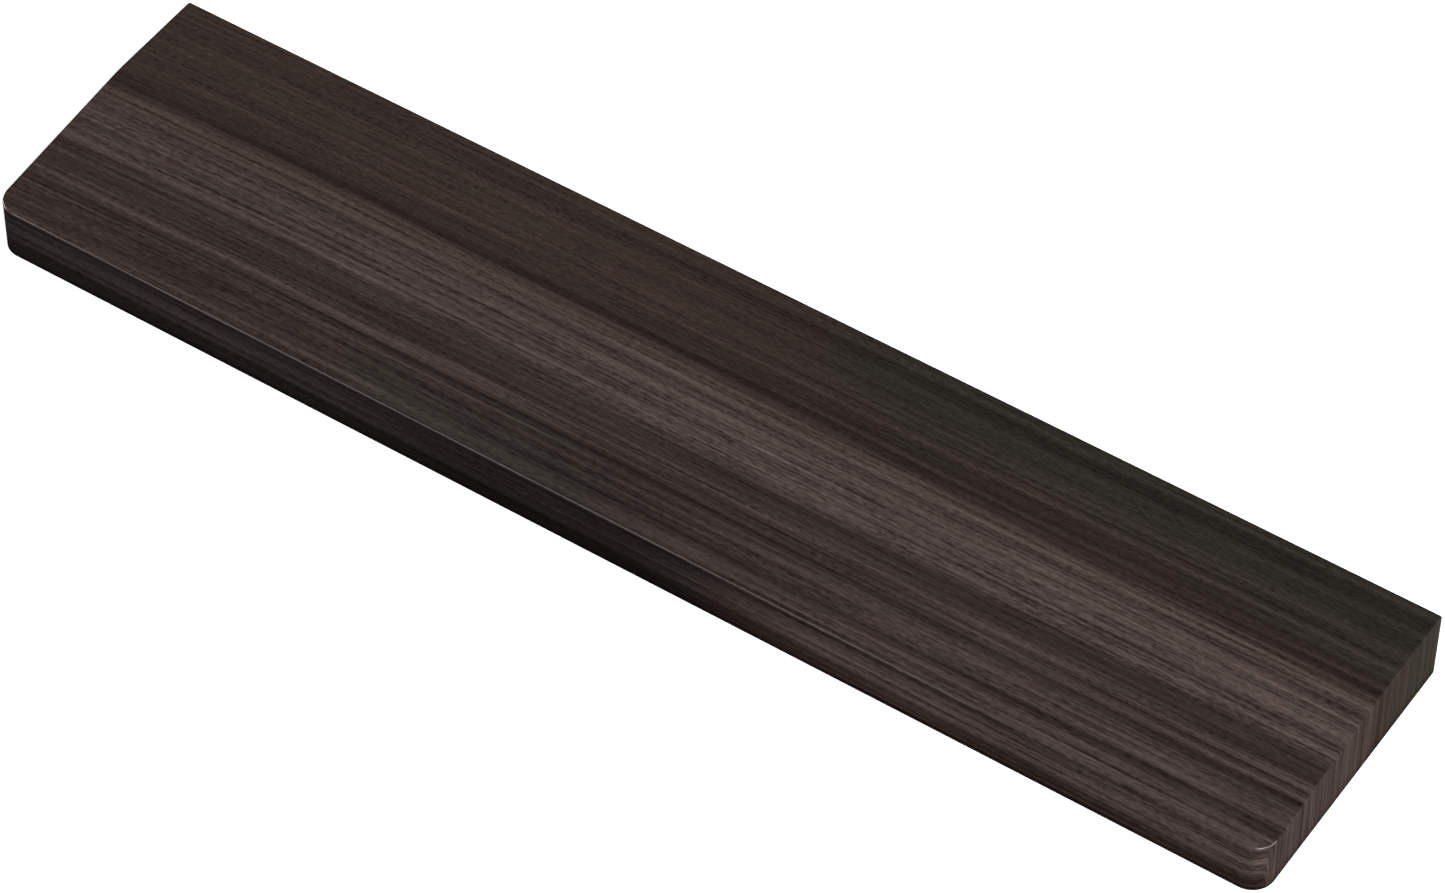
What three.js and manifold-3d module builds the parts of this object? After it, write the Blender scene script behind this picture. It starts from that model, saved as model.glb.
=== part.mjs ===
// Wooden wrist rest for a compact keyboard: one solid bar of dark wood that stands on six
// rubber feet. Each foot sits in a shallow round pocket, on a disc of adhesive.
//
// Units are millimetres. X runs along the bar, Y from the front (the side of the hands) to the
// back (the side of the keyboard) and Z up. The origin is on the surface that the feet stand
// on, below the middle of the bar.

import * as THREE from 'three';
import { mergeVertices } from 'three/addons/utils/BufferGeometryUtils.js';
import Module from 'manifold-3d';

const wasm = await Module();
wasm.setup();

// ---------------------------------------------------------------- driving dimensions

const bar = {
  length: 360,
  depth: 80,
  backHeight: 20, // thickness of the wood under the flat land
  frontHeight: 15, // thickness of the wood at the front face
  landDepth: 29, // flat strip along the back, up to the ridge
  ridgeRadius: 40, // how softly the land turns into the slope
  frontCornerRadius: 6, // upright edges of the two front corners
  backCornerRadius: 0.8, // upright edges of the two back corners
  edgeRadius: 0.6, // sanded edges of the top
  undersideRadius: 0.2, // crisper edges of the underside
};

const foot = {
  diameter: 12,
  thickness: 2.2,
  edgeRadius: 0.5, // moulded edge at the standing face
};

const footPlaces = {
  fromEnd: 24, // centre of an outer foot from the end of the bar
  fromFront: 16, // centre of a front foot from the front face
  fromBack: 14, // centre of a back foot from the back face
};

const adhesive = {
  thickness: 0.3,
  inset: 0.5, // how far the disc stays inside the rim of the foot
};

const pocket = {
  depth: 1.3,
  clearance: 0.3, // round the foot, all the way
};

const facets = {
  corner: 10, // flats round the quarter turn of an upright edge
  edge: 3, // flats across a sanded edge
  ridge: 4, // flats across the ridge
  footEdge: 4, // flats across the moulded edge of a foot
  round: 36, // sides of a foot, a disc of adhesive and a pocket
};

const finishes = {
  wood: { color: 0x3b312e, roughness: 0.42, metalness: 0 },
  rubber: { color: 0x1b1b1c, roughness: 0.8, metalness: 0 },
  adhesive: { color: 0xb9b5aa, roughness: 0.6, metalness: 0 },
};

// ---------------------------------------------------------------- sizes that follow from them

const standHeight = foot.thickness + adhesive.thickness - pocket.depth; // wood above the table
const pocketFloor = standHeight + pocket.depth;
const landHeight = standHeight + bar.backHeight;
const ridgeY = bar.depth / 2 - bar.landDepth;
const slopeAngle = Math.atan2(bar.backHeight - bar.frontHeight, bar.depth - bar.landDepth);
const ridgeArcY = ridgeY + bar.ridgeRadius * Math.tan(slopeAngle / 2); // where the land ends

// ---------------------------------------------------------------- solids

function toSolid(geometry) {
  const bare = geometry.clone();
  bare.deleteAttribute('normal');
  bare.deleteAttribute('uv');
  const merged = mergeVertices(bare);
  return new wasm.Manifold(
    new wasm.Mesh({
      numProp: 3,
      vertProperties: merged.getAttribute('position').array,
      triVerts: Uint32Array.from(merged.index.array),
    }),
  );
}

function toGeometry(solid) {
  const { vertProperties, triVerts } = solid.getMesh();
  const geometry = new THREE.BufferGeometry();
  geometry.setAttribute('position', new THREE.BufferAttribute(vertProperties, 3));
  geometry.setIndex(new THREE.BufferAttribute(triVerts, 1));
  geometry.computeVertexNormals();
  return geometry;
}

// ---------------------------------------------------------------- wooden bar

// The bar from above, anticlockwise from the left end of the front face.
function barOutline() {
  const { frontCornerRadius: front, backCornerRadius: back } = bar;
  const [right, rear] = [bar.length / 2, bar.depth / 2];
  const outline = new THREE.Shape();
  outline.moveTo(front - right, -rear);
  outline.absarc(right - front, front - rear, front, -Math.PI / 2, 0);
  outline.absarc(right - back, rear - back, back, 0, Math.PI / 2);
  outline.absarc(back - right, rear - back, back, Math.PI / 2, Math.PI);
  outline.absarc(front - right, front - rear, front, Math.PI, 1.5 * Math.PI);
  return outline;
}

// An upright block of the bar's outline, with rounded edges above and below.
function block(underside, top, radius) {
  const geometry = new THREE.ExtrudeGeometry(barOutline(), {
    depth: top - underside - 2 * radius,
    curveSegments: facets.corner / 2, // a shape's arcs get two flats for each
    bevelThickness: radius,
    bevelSize: radius,
    bevelOffset: -radius,
    bevelSegments: facets.edge,
  });
  return geometry.translate(0, 0, underside + radius);
}

// A deeper block, sheared until its top touches the ridge's arc at this angle. At no angle its
// top is the land, and at the full angle of the slope it is the slope itself.
function slopedBlock(angle) {
  const slope = Math.tan(angle);
  const rise = bar.ridgeRadius / Math.cos(angle) - bar.ridgeRadius - slope * ridgeArcY;
  const shear = new THREE.Matrix4().makeShear(0, 0, 0, slope, 0, 0);
  const deepBlock = block(standHeight - bar.backHeight, landHeight, bar.edgeRadius);
  return deepBlock.applyMatrix4(shear).translate(0, 0, rise);
}

function pocketTool(x, y) {
  const radius = foot.diameter / 2 + pocket.clearance;
  const height = pocket.depth + standHeight;
  const geometry = new THREE.CylinderGeometry(radius, radius, height, facets.round);
  return geometry.rotateX(Math.PI / 2).translate(x, y, pocketFloor - height / 2);
}

function barGeometry(places) {
  const tallBlock = block(standHeight, landHeight + bar.backHeight, bar.undersideRadius);
  let solid = toSolid(tallBlock);
  for (let step = 0; step <= facets.ridge; step += 1) {
    const angle = (slopeAngle * step) / facets.ridge;
    solid = solid.intersect(toSolid(slopedBlock(angle)));
  }
  for (const { x, y } of places) {
    solid = solid.subtract(toSolid(pocketTool(x, y)));
  }
  return toGeometry(solid);
}

// ---------------------------------------------------------------- feet and adhesive

function footGeometry() {
  const radius = foot.diameter / 2;
  const profile = new THREE.Path();
  profile.moveTo(0, 0);
  profile.lineTo(radius - foot.edgeRadius, 0);
  profile.absarc(radius - foot.edgeRadius, foot.edgeRadius, foot.edgeRadius, -Math.PI / 2, 0);
  profile.lineTo(radius, foot.thickness);
  profile.lineTo(0, foot.thickness);
  const points = profile.getPoints(facets.footEdge / 2); // and so do a path's arcs
  return new THREE.LatheGeometry(points, facets.round).rotateX(Math.PI / 2);
}

function adhesiveGeometry() {
  const radius = foot.diameter / 2 - adhesive.inset;
  const disc = new THREE.CylinderGeometry(radius, radius, adhesive.thickness, facets.round);
  return disc.rotateX(Math.PI / 2);
}

// ---------------------------------------------------------------- assembly

const rows = [
  { row: 'front', y: footPlaces.fromFront - bar.depth / 2 },
  { row: 'back', y: bar.depth / 2 - footPlaces.fromBack },
];
const columns = [
  { column: 'left', x: footPlaces.fromEnd - bar.length / 2 },
  { column: 'middle', x: 0 },
  { column: 'right', x: bar.length / 2 - footPlaces.fromEnd },
];
const places = rows.flatMap(({ row, y }) =>
  columns.map(({ column, x }) => ({ label: `${row}_${column}`, x, y })),
);

function piece(name, geometry, finish) {
  const mesh = new THREE.Mesh(geometry, new THREE.MeshStandardMaterial(finish));
  mesh.name = name;
  return mesh;
}

const wristRest = new THREE.Group();
wristRest.name = 'wrist_rest';
wristRest.add(piece('wooden_bar', barGeometry(places), finishes.wood));

for (const { label, x, y } of places) {
  const rubber = piece(`foot_${label}`, footGeometry(), finishes.rubber);
  rubber.position.set(x, y, 0);

  const glue = piece(`adhesive_${label}`, adhesiveGeometry(), finishes.adhesive);
  glue.position.set(x, y, pocketFloor - adhesive.thickness / 2);

  wristRest.add(rubber, glue);
}

export default wristRest;
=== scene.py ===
import math

import bmesh
import bpy
from mathutils import Euler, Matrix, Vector


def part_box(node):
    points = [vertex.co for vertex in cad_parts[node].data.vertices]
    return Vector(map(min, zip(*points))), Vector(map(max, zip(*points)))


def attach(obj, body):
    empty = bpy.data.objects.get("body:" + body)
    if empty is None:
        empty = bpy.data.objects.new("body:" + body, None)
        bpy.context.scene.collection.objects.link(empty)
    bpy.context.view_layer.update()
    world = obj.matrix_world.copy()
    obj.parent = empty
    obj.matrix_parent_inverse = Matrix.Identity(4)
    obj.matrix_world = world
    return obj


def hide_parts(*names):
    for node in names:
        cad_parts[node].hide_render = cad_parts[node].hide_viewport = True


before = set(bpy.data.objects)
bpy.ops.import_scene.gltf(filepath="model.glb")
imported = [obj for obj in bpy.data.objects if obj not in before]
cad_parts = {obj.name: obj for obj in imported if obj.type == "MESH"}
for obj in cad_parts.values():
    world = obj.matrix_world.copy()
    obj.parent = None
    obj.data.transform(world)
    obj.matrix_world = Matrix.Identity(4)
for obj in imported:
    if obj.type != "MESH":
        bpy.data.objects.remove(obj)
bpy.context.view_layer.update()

# A wooden wrist rest for a compact keyboard: one bar of dark walnut on six rubber feet.
# Everything is in metres. X runs along the bar, Y goes back towards the keyboard, Z is up.

mm = 0.001
near = 0.01 * mm  # closer than this counts as the same place
mergeDistance = 0.001 * mm
reliefDepth = 0.02 * mm  # how deep the bumps of the three finishes are
barNode = "wooden_bar"
footPlaces = [f"{row}_{column}" for row in ("front", "back") for column in ("left", "middle", "right")]

barLow, barHigh = (Vector(corner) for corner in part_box(barNode))
barMiddle = (barLow + barHigh) / 2


# Wraps a shader socket, so that node maths reads as ordinary arithmetic.
class Flow:
    def __init__(self, tree, socket=None):
        self.tree = tree
        self.socket = socket

    # Any node: its type, its settings, what goes into its sockets, and which output to go on from.
    def node(self, kind, settings=None, inputs=None, output=0):
        made = self.tree.nodes.new(kind)
        for name, value in (settings or {}).items():
            if name == "stops":
                self.setStops(made.color_ramp, value)
            else:
                setattr(made, name, value)
        for key, value in (inputs or {}).items():
            if isinstance(value, Flow):
                self.tree.links.new(value.socket, made.inputs[key])
            else:
                made.inputs[key].default_value = value
        return Flow(self.tree, made.outputs[output] if made.outputs else None)

    def setStops(self, ramp, stops):
        while len(ramp.elements) < len(stops):
            ramp.elements.new(1.0)
        for element, (position, color) in zip(ramp.elements, stops):
            element.position = position
            element.color = (*color, 1.0)

    def maths(self, operation, *values):
        return self.node("ShaderNodeMath", {"operation": operation}, dict(enumerate(values)))

    def __add__(self, other):
        return self.maths("ADD", self, other)

    def __radd__(self, other):
        return self.maths("ADD", other, self)

    def __sub__(self, other):
        return self.maths("SUBTRACT", self, other)

    def __rsub__(self, other):
        return self.maths("SUBTRACT", other, self)

    def __mul__(self, other):
        return self.maths("MULTIPLY", self, other)

    def __rmul__(self, other):
        return self.maths("MULTIPLY", other, self)

    def __truediv__(self, other):
        return self.maths("DIVIDE", self, other)

    def __abs__(self):
        return self.maths("ABSOLUTE", self)

    def atLeast(self, other):
        return self.maths("MAXIMUM", self, other)

    # 0 before low, 1 after high, and smooth between them.
    def rise(self, low, high):
        settings = {"interpolation_type": "SMOOTHSTEP"}
        return self.node("ShaderNodeMapRange", settings, {"Value": self, 1: low, 2: high})

    # A soft bump that is 1 at the centre and gone at twice its half width.
    def bump(self, centre, halfWidth):
        return 1 - (abs(self - centre) / (2 * halfWidth)).rise(0, 1)

    def mix(self, other, share):
        return self * (1 - share) + other * share

    def vector(self, x, y, z):
        return self.node("ShaderNodeCombineXYZ", None, {0: x, 1: y, 2: z})

    # Smooth noise from about -1 to 1.
    def noise(self, vector, detail=0.0):
        inputs = {"Vector": vector, "Scale": 1.0, "Detail": detail}
        return self.node("ShaderNodeTexNoise", {"normalize": False}, inputs)

    def blendColors(self, first, second, share):
        settings = {"data_type": "RGBA"}
        return self.node("ShaderNodeMix", settings, {0: share, 6: first, 7: second}, 2)

    def scaleColor(self, color, factor):
        settings = {"operation": "SCALE"}
        return self.node("ShaderNodeVectorMath", settings, {0: color, "Scale": factor})


# A material with one Principled shader, the place on the piece in millimetres, and a function
# that feeds what changes over the piece to the shader.
def newMaterial(name, shaderValues):
    material = bpy.data.materials.new(name)
    material.use_nodes = True
    tree = material.node_tree
    tree.nodes.clear()
    start = Flow(tree)
    shader = tree.nodes.new("ShaderNodeBsdfPrincipled")
    for socket, value in shaderValues.items():
        shader.inputs[socket].default_value = value
    target = tree.nodes.new("ShaderNodeOutputMaterial")
    tree.links.new(shader.outputs[0], target.inputs["Surface"])
    place = start.node("ShaderNodeTexCoord", output=3)
    place = start.scaleColor(place, 1 / mm)
    x, y, z = (start.node("ShaderNodeSeparateXYZ", None, {0: place}, axis) for axis in range(3))

    def feed(flows):
        for socket, flow in flows.items():
            tree.links.new(flow.socket, shader.inputs[socket])

    return material, start, (x, y, z), feed


# camera, from the side of the hands, to the right and well above
cameraSettings = {
    "location": (521.19 * mm, -788.0 * mm, 1062.41 * mm),
    "turn": (41.735, -0.545, 33.683),  # degrees
    "lens": 147.94,
    "sensor": 36.0,
    "clip": (0.05, 50.0),
}


def addCamera():
    data = bpy.data.cameras.new("camera")
    data.lens = cameraSettings["lens"]
    data.sensor_width = cameraSettings["sensor"]
    data.clip_start, data.clip_end = cameraSettings["clip"]
    camera = bpy.data.objects.new("camera", data)
    camera.location = cameraSettings["location"]
    camera.rotation_euler = Euler(math.radians(angle) for angle in cameraSettings["turn"])
    bpy.context.scene.collection.objects.link(camera)
    bpy.context.scene.camera = camera


addCamera()
print("camera placed")


# wooden bar
bar = {
    "frontHeight": 15 * mm,
    "landDepth": 29 * mm,
    "ridgeRadius": 40 * mm,
    "frontCornerRadius": 6 * mm,
    "edgeRadius": 0.6 * mm,
    "undersideRadius": 0.2 * mm,
    "pocketClearance": 0.3 * mm,
    "pocketLip": 0.15 * mm,
    "lipSteps": 2,
    "cornerSteps": 28,
    "edgeSteps": 6,
    "ridgeSteps": 10,
    "pocketSides": 72,
    "sharpAngle": math.radians(30),
    "flatAngle": math.radians(1),
}
ridgeY = barHigh.y - bar["landDepth"]
slopeFall = (barHigh.z - barLow.z - bar["frontHeight"]) / (ridgeY - barLow.y)


def bevelEdges(bm, edges, offset, steps):
    bmesh.ops.bevel(bm, geom=edges, offset=offset, offset_type="OFFSET", segments=steps, profile=0.5,
                    affect="EDGES", clamp_overlap=False, material=-1)


def sharpEdges(bm):
    return [edge for edge in bm.edges if edge.calc_face_angle(0) > bar["sharpAngle"]]


def newPiece(name, bm, material):
    mesh = bpy.data.meshes.new(name)
    bm.to_mesh(mesh)
    bm.free()
    mesh.materials.append(material)
    piece = bpy.data.objects.new(name, mesh)
    bpy.context.scene.collection.objects.link(piece)
    return piece


# The plank, sloped from the ridge down to the front face, with every edge sanded.
def plankShape():
    bm = bmesh.new()
    bmesh.ops.create_cube(bm, size=1.0)
    bmesh.ops.scale(bm, vec=barHigh - barLow, verts=bm.verts)
    bmesh.ops.translate(bm, vec=barMiddle, verts=bm.verts)
    everything = bm.verts[:] + bm.edges[:] + bm.faces[:]
    bmesh.ops.bisect_plane(bm, geom=everything, plane_co=(0, ridgeY, 0), plane_no=(0, 1, 0))
    for vert in bm.verts:
        if vert.co.y < barLow.y + near and vert.co.z > barHigh.z - near:
            vert.co.z = barLow.z + bar["frontHeight"]
    bm.normal_update()  # or the ridge still counts as flat below
    bmesh.ops.dissolve_limit(bm, angle_limit=bar["flatAngle"], verts=bm.verts, edges=bm.edges)

    corners = [edge for edge in bm.edges
               if all(vert.co.y < barLow.y + near for vert in edge.verts)
               and abs(edge.verts[0].co.x - edge.verts[1].co.x) < near]
    bevelEdges(bm, corners, bar["frontCornerRadius"], bar["cornerSteps"])

    ridge = [edge for edge in bm.edges
             if all(abs(vert.co.y - ridgeY) < near and vert.co.z > barHigh.z - near
                    for vert in edge.verts)]
    bevelEdges(bm, ridge, bar["ridgeRadius"] * math.tan(math.atan(slopeFall) / 2), bar["ridgeSteps"])
    rim = [edge for edge in sharpEdges(bm) if any(vert.co.z > barLow.z + near for vert in edge.verts)]
    bevelEdges(bm, rim, bar["edgeRadius"], bar["edgeSteps"])
    bevelEdges(bm, sharpEdges(bm), bar["undersideRadius"], bar["edgeSteps"])
    bmesh.ops.recalc_face_normals(bm, faces=bm.faces)
    return bm


# Round cutters for the pockets, one over each foot.
def pocketCutters():
    bm = bmesh.new()
    for place in footPlaces:
        footLow, footHigh = (Vector(corner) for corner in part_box(f"foot_{place}"))
        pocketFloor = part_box(f"adhesive_{place}")[1][2]
        radius = (footHigh.x - footLow.x) / 2 + bar["pocketClearance"]
        centre = (footLow + footHigh) / 2
        centre.z = pocketFloor / 2
        made = bmesh.ops.create_cone(bm, cap_ends=True, segments=bar["pocketSides"], radius1=radius,
                                     radius2=radius, depth=pocketFloor)
        bmesh.ops.translate(bm, vec=centre, verts=made["verts"])
    return bm


def makeBar(material):
    plank = newPiece("walnutBar", plankShape(), material)
    cutters = newPiece("pocketCutters", pocketCutters(), material)
    cut = plank.modifiers.new("pockets", "BOOLEAN")
    cut.operation = "DIFFERENCE"
    cut.solver = "EXACT"
    cut.object = cutters
    seen = plank.evaluated_get(bpy.context.evaluated_depsgraph_get())
    cutMesh = bpy.data.meshes.new_from_object(seen)
    plank.modifiers.clear()
    bpy.data.objects.remove(cutters)

    bm = bmesh.new()
    bm.from_mesh(cutMesh)
    bmesh.ops.remove_doubles(bm, verts=bm.verts, dist=mergeDistance)
    mouths = [edge for edge in sharpEdges(bm)
              if all(abs(vert.co.z - barLow.z) < near for vert in edge.verts)]
    bevelEdges(bm, mouths, bar["pocketLip"], bar["lipSteps"])
    for face in bm.faces:
        face.smooth = True
    for edge in sharpEdges(bm):
        edge.smooth = False
    bm.to_mesh(plank.data)
    bm.free()
    bpy.data.meshes.remove(cutMesh)

    even = plank.modifiers.new("even shading", "WEIGHTED_NORMAL")
    even.keep_sharp = True
    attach(plank, "root")
    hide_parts(barNode)


# dark walnut under a satin lacquer
# Growth rings are cut lengthways, so they show as straight streaks along the bar. Each ring is
# its distance from the back edge in millimetres, and how light the wood is there. The top has
# one set near its left end and one near its right end, and the front face has its own.
walnut = {
    "leftRings": [
        (0, 0.36), (5.5, 0.25), (8.5, 0.35), (15, 0.31), (17, 0.34), (20, 0.30), (22, 0.35), (25, 0.26),
        (27, 0.27), (29.4, 0.13), (31, 0.26), (32.5, 0.44), (34.5, 0.51), (37, 0.45), (39.5, 0.42),
        (42, 0.62), (43.5, 0.58), (45, 0.38), (47, 0.50), (50, 0.52), (51.5, 0.30), (55, 0.38),
        (57, 0.29), (59, 0.26), (62.5, 0.50), (65, 0.16), (67, 0.42), (69.5, 0.25), (72, 0.37),
        (74.3, 0.22), (77.5, 0.46), (79, 0.27)],
    "rightRings": [
        (1.5, 0.21), (3.2, 0.30), (5.8, 0.16), (9, 0.24), (13, 0.21), (17, 0.30), (19, 0.29),
        (20.3, 0.19), (21.8, 0.37), (24, 0.21), (27, 0.20), (28.3, 0.30), (29.4, 0.12), (31.5, 0.28),
        (35.5, 0.68), (37.2, 0.46), (40, 0.66), (42, 0.54), (44, 0.66), (46, 0.56), (48, 0.50),
        (50, 0.82), (53.6, 0.23), (57.5, 0.25), (60, 0.54), (62.2, 0.24), (63.3, 0.50), (65, 0.17),
        (67.5, 0.40), (72.3, 0.48), (74.1, 0.22), (77.3, 0.46)],
    "frontRings": [
        (80.4, 0.42), (81.5, 0.42), (83.4, 0.60), (84.5, 0.60), (85.8, 0.80), (87.2, 0.46), (88.2, 0.70),
        (89.5, 0.38), (90.6, 0.28), (91.7, 0.30), (92.5, 0.18), (93.1, 0.30), (93.8, 0.12)],
    "ringsChange": (-70, 50),  # along the bar, where the left rings turn into the right ones
    "drift": 0.0065,  # how far the rings run off the line of the bar, for each unit along it
    "bendAt": 110,  # this far left of the middle they start to run off faster
    "bend": 0.02,
    "lean": 0.05,  # how far the rings lean with depth
    "waver": 0.3,
    # Each layer of fine grain: its size along the bar, its size across, how fast it changes
    # with height, where it lies in the noise, and how strong it is.
    "pinstripes": (110, 0.78, 0.02, 27.1, 0.66),
    "threads": (34, 0.6, 0.03, 51.7, 0.5),
    "dashes": (15, 0.6, 0.05, 41.9, 0.27),
    "fibres": (1.7, 0.36, 0.4, 63.7, 0.64),
    "poreField": (4.0, 0.3, 0.3, 5.2, 1.0),
    "poreDark": 0.22,
    "dotSize": 0.5,
    "dotDark": 0.15,
    # how much darker each edge or patch of painted shade is than the wood around it
    "endFootPaintedShade": 0.38,
    "lowEdgePaintedShade": 0.6,
    "farEdgePaintedShade": 0.8,
    "rightEdgePaintedShade": 0.3,
    "rightCornerPaintedShade": 0.14,
    "middlePaintedShade": 0.3,
    "warmBrown": (0.147, 0.100, 0.080, 1.0),
    "plumBrown": (0.141, 0.100, 0.0895, 1.0),
    "darkHeart": (0.185, 0.100, 0.088, 1.0),
    "olive": (0.119, 0.100, 0.078, 1.0),
    "greyBrown": (0.122, 0.100, 0.089, 1.0),
    "roughness": 0.5,
    "reliefStrength": 0.35,
}
frontY, backY, endX = barLow.y / mm, barHigh.y / mm, barHigh.x / mm


# How light the rings are at a distance from the back edge.
def ringTone(start, across, rings):
    first, last = rings[0][0], rings[-1][0]
    stops = [((place - first) / (last - first), (tone, tone, tone)) for place, tone in rings]
    return start.node("ShaderNodeValToRGB", {"stops": stops}, {0: (across - first) / (last - first)})


# Where the growth rings lie, as a distance from the back edge. They lean a little with depth,
# and on the front and back faces they run level, as on a rift-sawn board.
def ringPlace(start, x, y, depth, onFront, onBack):
    across = backY - y + depth * walnut["lean"]
    across = across.mix(backY - frontY + depth, onFront).mix(0 - depth, onBack)
    bend = (0 - x - walnut["bendAt"]).atLeast(0) * walnut["bend"]
    across = across + (x * walnut["drift"] - bend) * (1 - onFront)
    return across + start.noise(start.vector(x / 60, across / 9, 9.1)) * walnut["waver"]


# The broad rings. The front face is lighter to the right, a painted reflection of a lamp, and the ends
# show less of the rings.
def broadRings(start, x, y, across, onFront, endGrain):
    rings = ringTone(start, across, walnut["leftRings"])
    rings = rings.mix(ringTone(start, across, walnut["rightRings"]), x.rise(*walnut["ringsChange"]))
    # painted reflection: the front face grows lighter towards the right end, standing in for a lamp's
    # reflection
    paintedFrontReflection = 0.44 + 0.56 * x.rise(8, 62) + 0.22 * x.rise(105, 150) - 0.05 * x.bump(-25, 40)
    rings = rings.mix(ringTone(start, across, walnut["frontRings"]) * paintedFrontReflection, onFront)
    alongEnd = 1.0 + 0.22 * (1 - y.rise(-30, 12)) + 0.14 * y.rise(28, 38)
    return rings.mix((0.35 + rings * 0.33) * alongEnd, endGrain)


def grainLayer(start, x, across, z, name):
    sizeAlong, sizeAcross, climb, seed, strength = walnut[name]
    return start.noise(start.vector(x / sizeAlong, across / sizeAcross, z * climb + seed)) * strength


# How much of the light is left under the painted shade: at the foot of the ends and back, along the bottom
# edges, the top edges at the back and both ends, and the front-right corner, and under a painted shadow
# over the middle of the front half.
def shadedEdges(x, y, z, across, depth, below, onFront, endGrain):
    aboveUnderside = z - barLow.z / mm
    # painted shade: every face but the front darkens over its lowest 5 mm, as if shaded by the floor
    endFootShade = 1 - aboveUnderside.rise(0.0, 5.0).mix(1, onFront)
    # painted shade: a dark line along the bottom edges, in the lowest millimetre above the underside
    lowEdgeShade = aboveUnderside.rise(0.0, 0.1) * (1 - aboveUnderside.rise(0.1, 1.1))
    # painted shade: dark lines along the back top edge and the left end's top edge
    farEdgeShade = y.rise(backY - 0.75, backY - 0.35).atLeast((0 - x).rise(endX - 0.7, endX - 0.3))
    farEdgeShade = farEdgeShade * (1 - depth.rise(0.4, 0.9))
    # painted shade over the rounded top edge of the right end, which dims its light line
    rightEdgeShade = x.rise(endX - 0.55, endX - 0.4) * (1 - depth.rise(0.35, 0.7))
    # painted shade on the rounded front-right corner, below its top edge
    rightCornerShade = x.rise(endX - 8, endX - 4) * (1 - y.rise(frontY + 3.2, frontY + 6)) * below
    # painted shadow over the middle of the front half: the front strip of the top and the front face
    middle = across.rise(56, 66) * x.bump(0, 50) * (1 - endGrain)
    left = (1 - endFootShade * walnut["endFootPaintedShade"]) * (1 - lowEdgeShade * walnut["lowEdgePaintedShade"])
    left = left * (1 - farEdgeShade * walnut["farEdgePaintedShade"]) * (1 - rightEdgeShade * walnut["rightEdgePaintedShade"])
    return left * (1 - rightCornerShade * walnut["rightCornerPaintedShade"]) * (1 - middle * walnut["middlePaintedShade"])


# The colour drifts: plum brown towards the hands, redder where it is dark, olive at the right
# of the back edge and greyer in front of the middle.
def walnutColor(start, x, z, across, tone, onFront, endGrain):
    cloud = start.noise(start.vector(x / 40, across / 6, z * 0.02 + 77.0), 1.0)
    backward = across + cloud * 3
    oliveBack = x.rise(-20, 50) * (1 - backward.rise(8, 22) * 0.5 - backward.rise(26.5, 30) * 0.5)
    greyTop = x.bump(-40, 52) * (across + cloud * 4).rise(64, 70)
    greyFront = greyTop.mix(1 - x.rise(15, 45), onFront) * (1 - endGrain)
    color = start.blendColors(walnut["warmBrown"], walnut["plumBrown"], across.rise(24, 46))
    color = start.blendColors(walnut["darkHeart"], color, tone.rise(0.0, 0.4))
    color = start.blendColors(color, walnut["olive"], (oliveBack + cloud * 0.2).rise(0, 1))
    color = start.blendColors(color, walnut["greyBrown"], greyFront * 0.8)
    return start.scaleColor(color, tone)


def walnutMaterial():
    shaderValues = {
        "Metallic": 0.0,
        "IOR": 1.45,
        "Specular IOR Level": 0.05,
        "Coat Roughness": 0.16,
        "Coat IOR": 1.5,
        "Coat Weight": 1.0,
    }
    material, start, (x, y, z), feed = newMaterial("walnut", shaderValues)
    top = barHigh.z / mm - (ridgeY / mm - y).atLeast(0) * slopeFall
    depth = (top - z).atLeast(0)
    below = depth.rise(0.2, 1.0)
    onFront = below * (1 - y.rise(frontY + 2.4, frontY + 5))
    onBack = below * y.rise(backY - 1.4, backY - 0.2)
    endGrain = abs(x).rise(endX - 0.3, endX - 0.02)
    across = ringPlace(start, x, y, depth, onFront, onBack)
    rings = broadRings(start, x, y, across, onFront, endGrain)

    # finer rings and fibres, each layer shorter than the last
    onLand = 1 - across.rise(28, 32)
    pinstripes, threads, dashes, fibres, poreField = (
        grainLayer(start, x, across, z, name)
        for name in ("pinstripes", "threads", "dashes", "fibres", "poreField"))
    stripes = (pinstripes + threads) * (1 - onLand * 0.4) * (1 - endGrain * 0.15)
    stripes = stripes + (dashes + fibres) * (1 - endGrain * 0.7)

    # pores: short dark dashes along the grain, dots on the ends
    pores = poreField.rise(0.28, 0.5) * (1 - endGrain)
    dotField = start.noise(start.vector(y / walnut["dotSize"], z / walnut["dotSize"], x / 5.0))
    dots = dotField.rise(0.3, 0.5) * endGrain

    tone = rings * (1 + stripes).atLeast(0.3) * (1 - pores * walnut["poreDark"])
    tone = tone * (1 - dots * walnut["dotDark"])
    tone = tone * shadedEdges(x, y, z, across, depth, below, onFront, endGrain)
    color = walnutColor(start, x, z, across, tone, onFront, endGrain)
    height = stripes * 0.35 - pores - dots * 0.6
    relief = start.node("ShaderNodeBump", None, {
        "Strength": walnut["reliefStrength"], "Distance": reliefDepth, "Height": height})
    roughness = walnut["roughness"] + pores * 0.2 - stripes * 0.1
    feed({"Base Color": color, "Roughness": roughness, "Normal": relief})
    return material


makeBar(walnutMaterial())
print("wooden bar made")


# rubber feet
foot = {
    "edgeRadius": 0.5 * mm,
    "edgeSteps": 6,
    "grooveAt": (4.5 * mm, 3.4 * mm),
    "grooveWidth": 0.45 * mm,
    "grooveDepth": 0.18 * mm,
    "dishRadius": 2.3 * mm,
    "dishDepth": 0.2 * mm,
    "sides": 72,
    "sharpAngle": math.radians(25),
    "darkRubber": (0.012, 0.012, 0.0125, 1.0),
    "wornRubber": (0.022, 0.021, 0.021, 1.0),
    "cloudSize": 3.0,
    "gritSize": 0.12,
    "roughness": 0.78,
}


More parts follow.
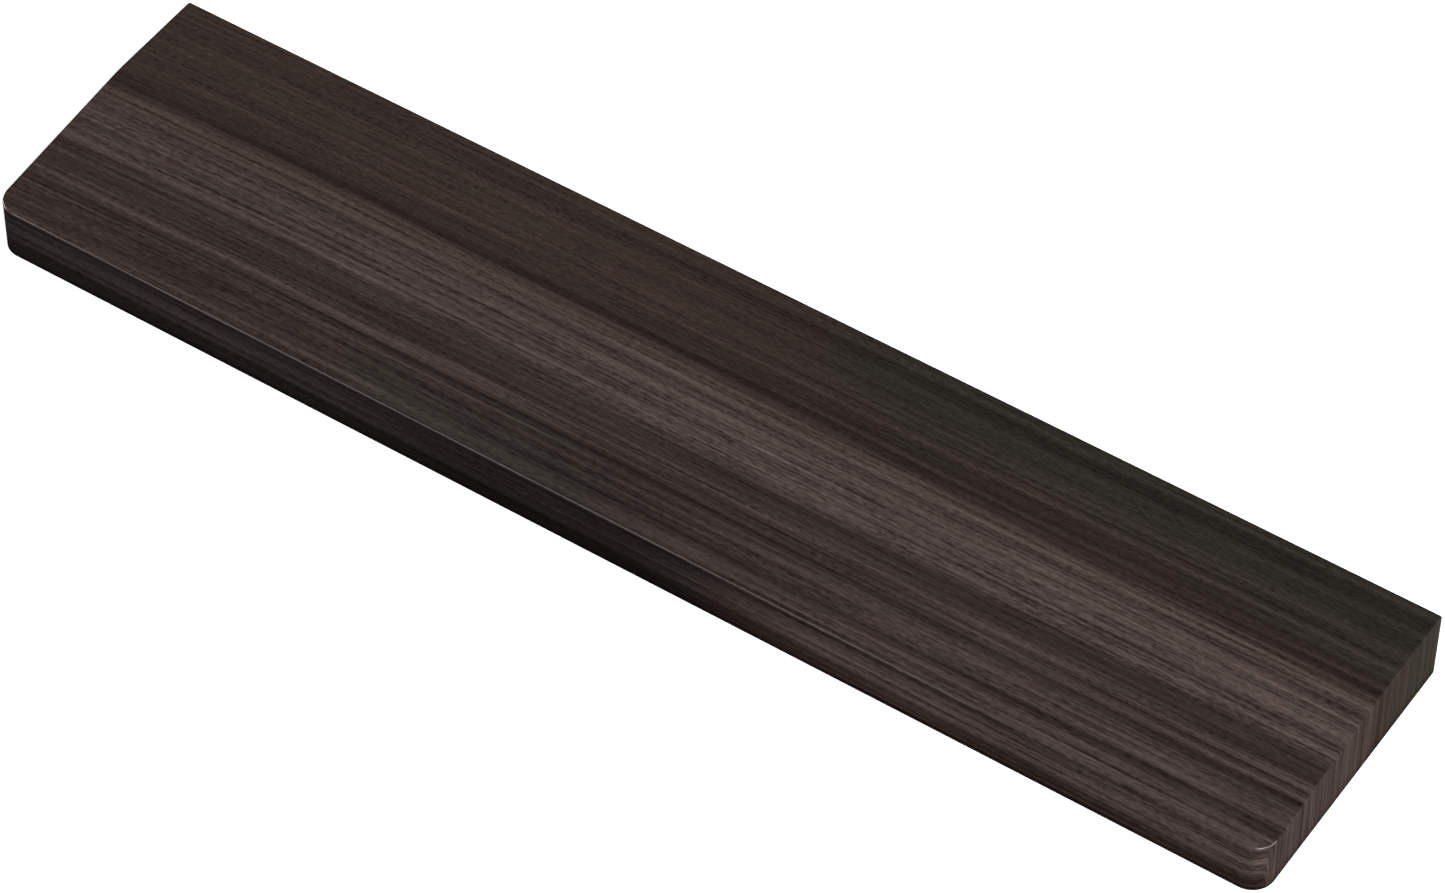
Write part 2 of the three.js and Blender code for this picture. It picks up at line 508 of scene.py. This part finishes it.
# Half of the foot's section, from the middle of its top down to the middle of the dish.
def footSection(radius, height):
    section = [(0, height), (radius, height)]
    for step in range(foot["edgeSteps"] + 1):
        angle = math.pi / 2 * step / foot["edgeSteps"]
        section.append((radius - foot["edgeRadius"] * (1 - math.cos(angle)),
                        foot["edgeRadius"] * (1 - math.sin(angle))))
    for middle in foot["grooveAt"]:
        half = foot["grooveWidth"] / 2
        section += [(middle + half, 0), (middle + half / 2, foot["grooveDepth"]),
                    (middle - half / 2, foot["grooveDepth"]), (middle - half, 0)]
    section += [(foot["dishRadius"], 0), (foot["dishRadius"] - foot["dishDepth"], foot["dishDepth"]),
                (0, foot["dishDepth"])]
    return section


def makeFoot(place, material):
    node = f"foot_{place}"
    low, high = (Vector(corner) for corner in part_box(node))
    centre = Vector(((low.x + high.x) / 2, (low.y + high.y) / 2, low.z))
    bm = bmesh.new()
    verts = [bm.verts.new(centre + Vector((reach, 0, rise)))
             for reach, rise in footSection((high.x - low.x) / 2, high.z - low.z)]
    edges = [bm.edges.new(pair) for pair in zip(verts, verts[1:])]
    bmesh.ops.spin(bm, geom=verts + edges, cent=centre, axis=(0, 0, 1), dvec=(0, 0, 0),
                   angle=2 * math.pi, steps=foot["sides"], use_merge=True, use_duplicate=False)
    bmesh.ops.remove_doubles(bm, verts=bm.verts, dist=mergeDistance)
    bmesh.ops.recalc_face_normals(bm, faces=bm.faces)
    for face in bm.faces:
        face.smooth = True
    for edge in bm.edges:
        edge.smooth = edge.calc_face_angle(0) < foot["sharpAngle"]
    piece = newPiece(f"rubberFoot_{place}", bm, material)
    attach(piece, "root")
    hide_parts(node)


def rubberMaterial():
    shaderValues = {"Metallic": 0.0, "IOR": 1.5, "Specular IOR Level": 0.4}
    material, start, (x, y, z), feed = newMaterial("blackRubber", shaderValues)
    cloudSize, gritSize = foot["cloudSize"], foot["gritSize"]
    cloudy = start.noise(start.vector(x / cloudSize, y / cloudSize, z / cloudSize), 3.0)
    grit = start.noise(start.vector(x / gritSize, y / gritSize, z / gritSize), 2.0)
    worn = (0.5 + cloudy + grit * 0.4).rise(0, 1)
    color = start.blendColors(foot["darkRubber"], foot["wornRubber"], worn)
    relief = start.node("ShaderNodeBump", None, {"Strength": 0.5, "Distance": reliefDepth, "Height": grit})
    roughness = foot["roughness"] + cloudy * 0.12 + grit * 0.08
    feed({"Base Color": color, "Roughness": roughness, "Normal": relief})
    return material


rubber = rubberMaterial()
for place in footPlaces:
    makeFoot(place, rubber)
print("rubber feet made")


# discs of adhesive, shut in between the feet and their pockets
glue = {
    "darkFoam": (0.42, 0.40, 0.34, 1.0),
    "lightFoam": (0.55, 0.53, 0.47, 1.0),
    "bubbleSize": 0.25,
    "roughness": 0.45,
}


def adhesiveMaterial():
    shaderValues = {"Metallic": 0.0, "IOR": 1.46, "Specular IOR Level": 0.5}
    material, start, (x, y, z), feed = newMaterial("clearAdhesive", shaderValues)
    size = glue["bubbleSize"]
    foam = start.noise(start.vector(x / size, y / size, z / size), 3.0)
    color = start.blendColors(glue["darkFoam"], glue["lightFoam"], (0.5 + foam).rise(0, 1))
    relief = start.node("ShaderNodeBump", None, {"Strength": 0.3, "Distance": reliefDepth, "Height": foam})
    feed({"Base Color": color, "Roughness": glue["roughness"] + foam * 0.15, "Normal": relief})
    return material


adhesive = adhesiveMaterial()
for place in footPlaces:
    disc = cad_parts[f"adhesive_{place}"]
    disc.material_slots[0].material = adhesive
print("adhesive finished")


# floor, lamps and sky
studio = {
    "floorSize": 8.0,
    "floorColor": (0.9, 0.9, 0.9, 1.0),
    "floorRoughness": 0.9,
    "floorShine": 0.1,
    "floorGlow": 0.75,
    "skyAbove": 0.07,
    "skyBelow": 0.01,
    "lamps": [
        {"name": "frontRight", "direction": (0.61, -0.51, 0.61), "distance": 3.5,
         "size": (1.5, 2.1), "power": 86},
        {"name": "right", "direction": (0.95, -0.05, 0.32), "distance": 4.5,
         "size": (3.2, 3.2), "power": 160},
        {"name": "frontLeft", "direction": (-0.45, -0.73, 0.55), "distance": 1.3,
         "size": (0.55, 0.6), "power": 2.7},
        {"name": "back", "direction": (0.35, 0.93, 0.1), "distance": 4.0,
         "size": (2.0, 0.7), "power": 75},
        {"name": "left", "direction": (-0.97, -0.25, 0.1), "distance": 4.0,
         "size": (2.0, 0.7), "power": 75},
    ],
}


def addFloor():
    material = newMaterial("paleFloor", {
        "Base Color": studio["floorColor"], "Roughness": studio["floorRoughness"],
        "Specular IOR Level": studio["floorShine"], "Emission Color": (1.0, 1.0, 1.0, 1.0),
        "Emission Strength": studio["floorGlow"]})[0]
    bm = bmesh.new()
    bmesh.ops.create_grid(bm, x_segments=4, y_segments=4, size=studio["floorSize"] / 2)
    floor = newPiece("floor", bm, material)
    floor.visible_diffuse = False
    floor.visible_glossy = False


def addLamps():
    for lamp in studio["lamps"]:
        data = bpy.data.lights.new(lamp["name"], "AREA")
        data.shape = "RECTANGLE"
        data.size, data.size_y = lamp["size"]
        data.energy = lamp["power"]
        light = bpy.data.objects.new(lamp["name"], data)
        direction = Vector(lamp["direction"]).normalized()
        light.location = direction * lamp["distance"]
        light.rotation_euler = direction.to_track_quat("Z", "Y").to_euler()
        bpy.context.scene.collection.objects.link(light)


# Even light from above, and almost none from below.
def addSky():
    world = bpy.data.worlds.new("studio")
    world.use_nodes = True
    tree = world.node_tree
    tree.nodes.clear()
    start = Flow(tree)
    direction = start.node("ShaderNodeTexCoord", output=0)
    height = start.node("ShaderNodeSeparateXYZ", None, {0: direction}, 2)
    level = studio["skyBelow"] + (studio["skyAbove"] - studio["skyBelow"]) * height.rise(-0.02, 0.1)
    sky = start.node("ShaderNodeBackground", None, {"Color": (1.0, 1.0, 1.0, 1.0), "Strength": level})
    target = tree.nodes.new("ShaderNodeOutputWorld")
    tree.links.new(sky.socket, target.inputs["Surface"])
    bpy.context.scene.world = world


addFloor()
addLamps()
addSky()
bpy.context.scene.view_settings.view_transform = "Standard"
print("floor, lamps and sky set")
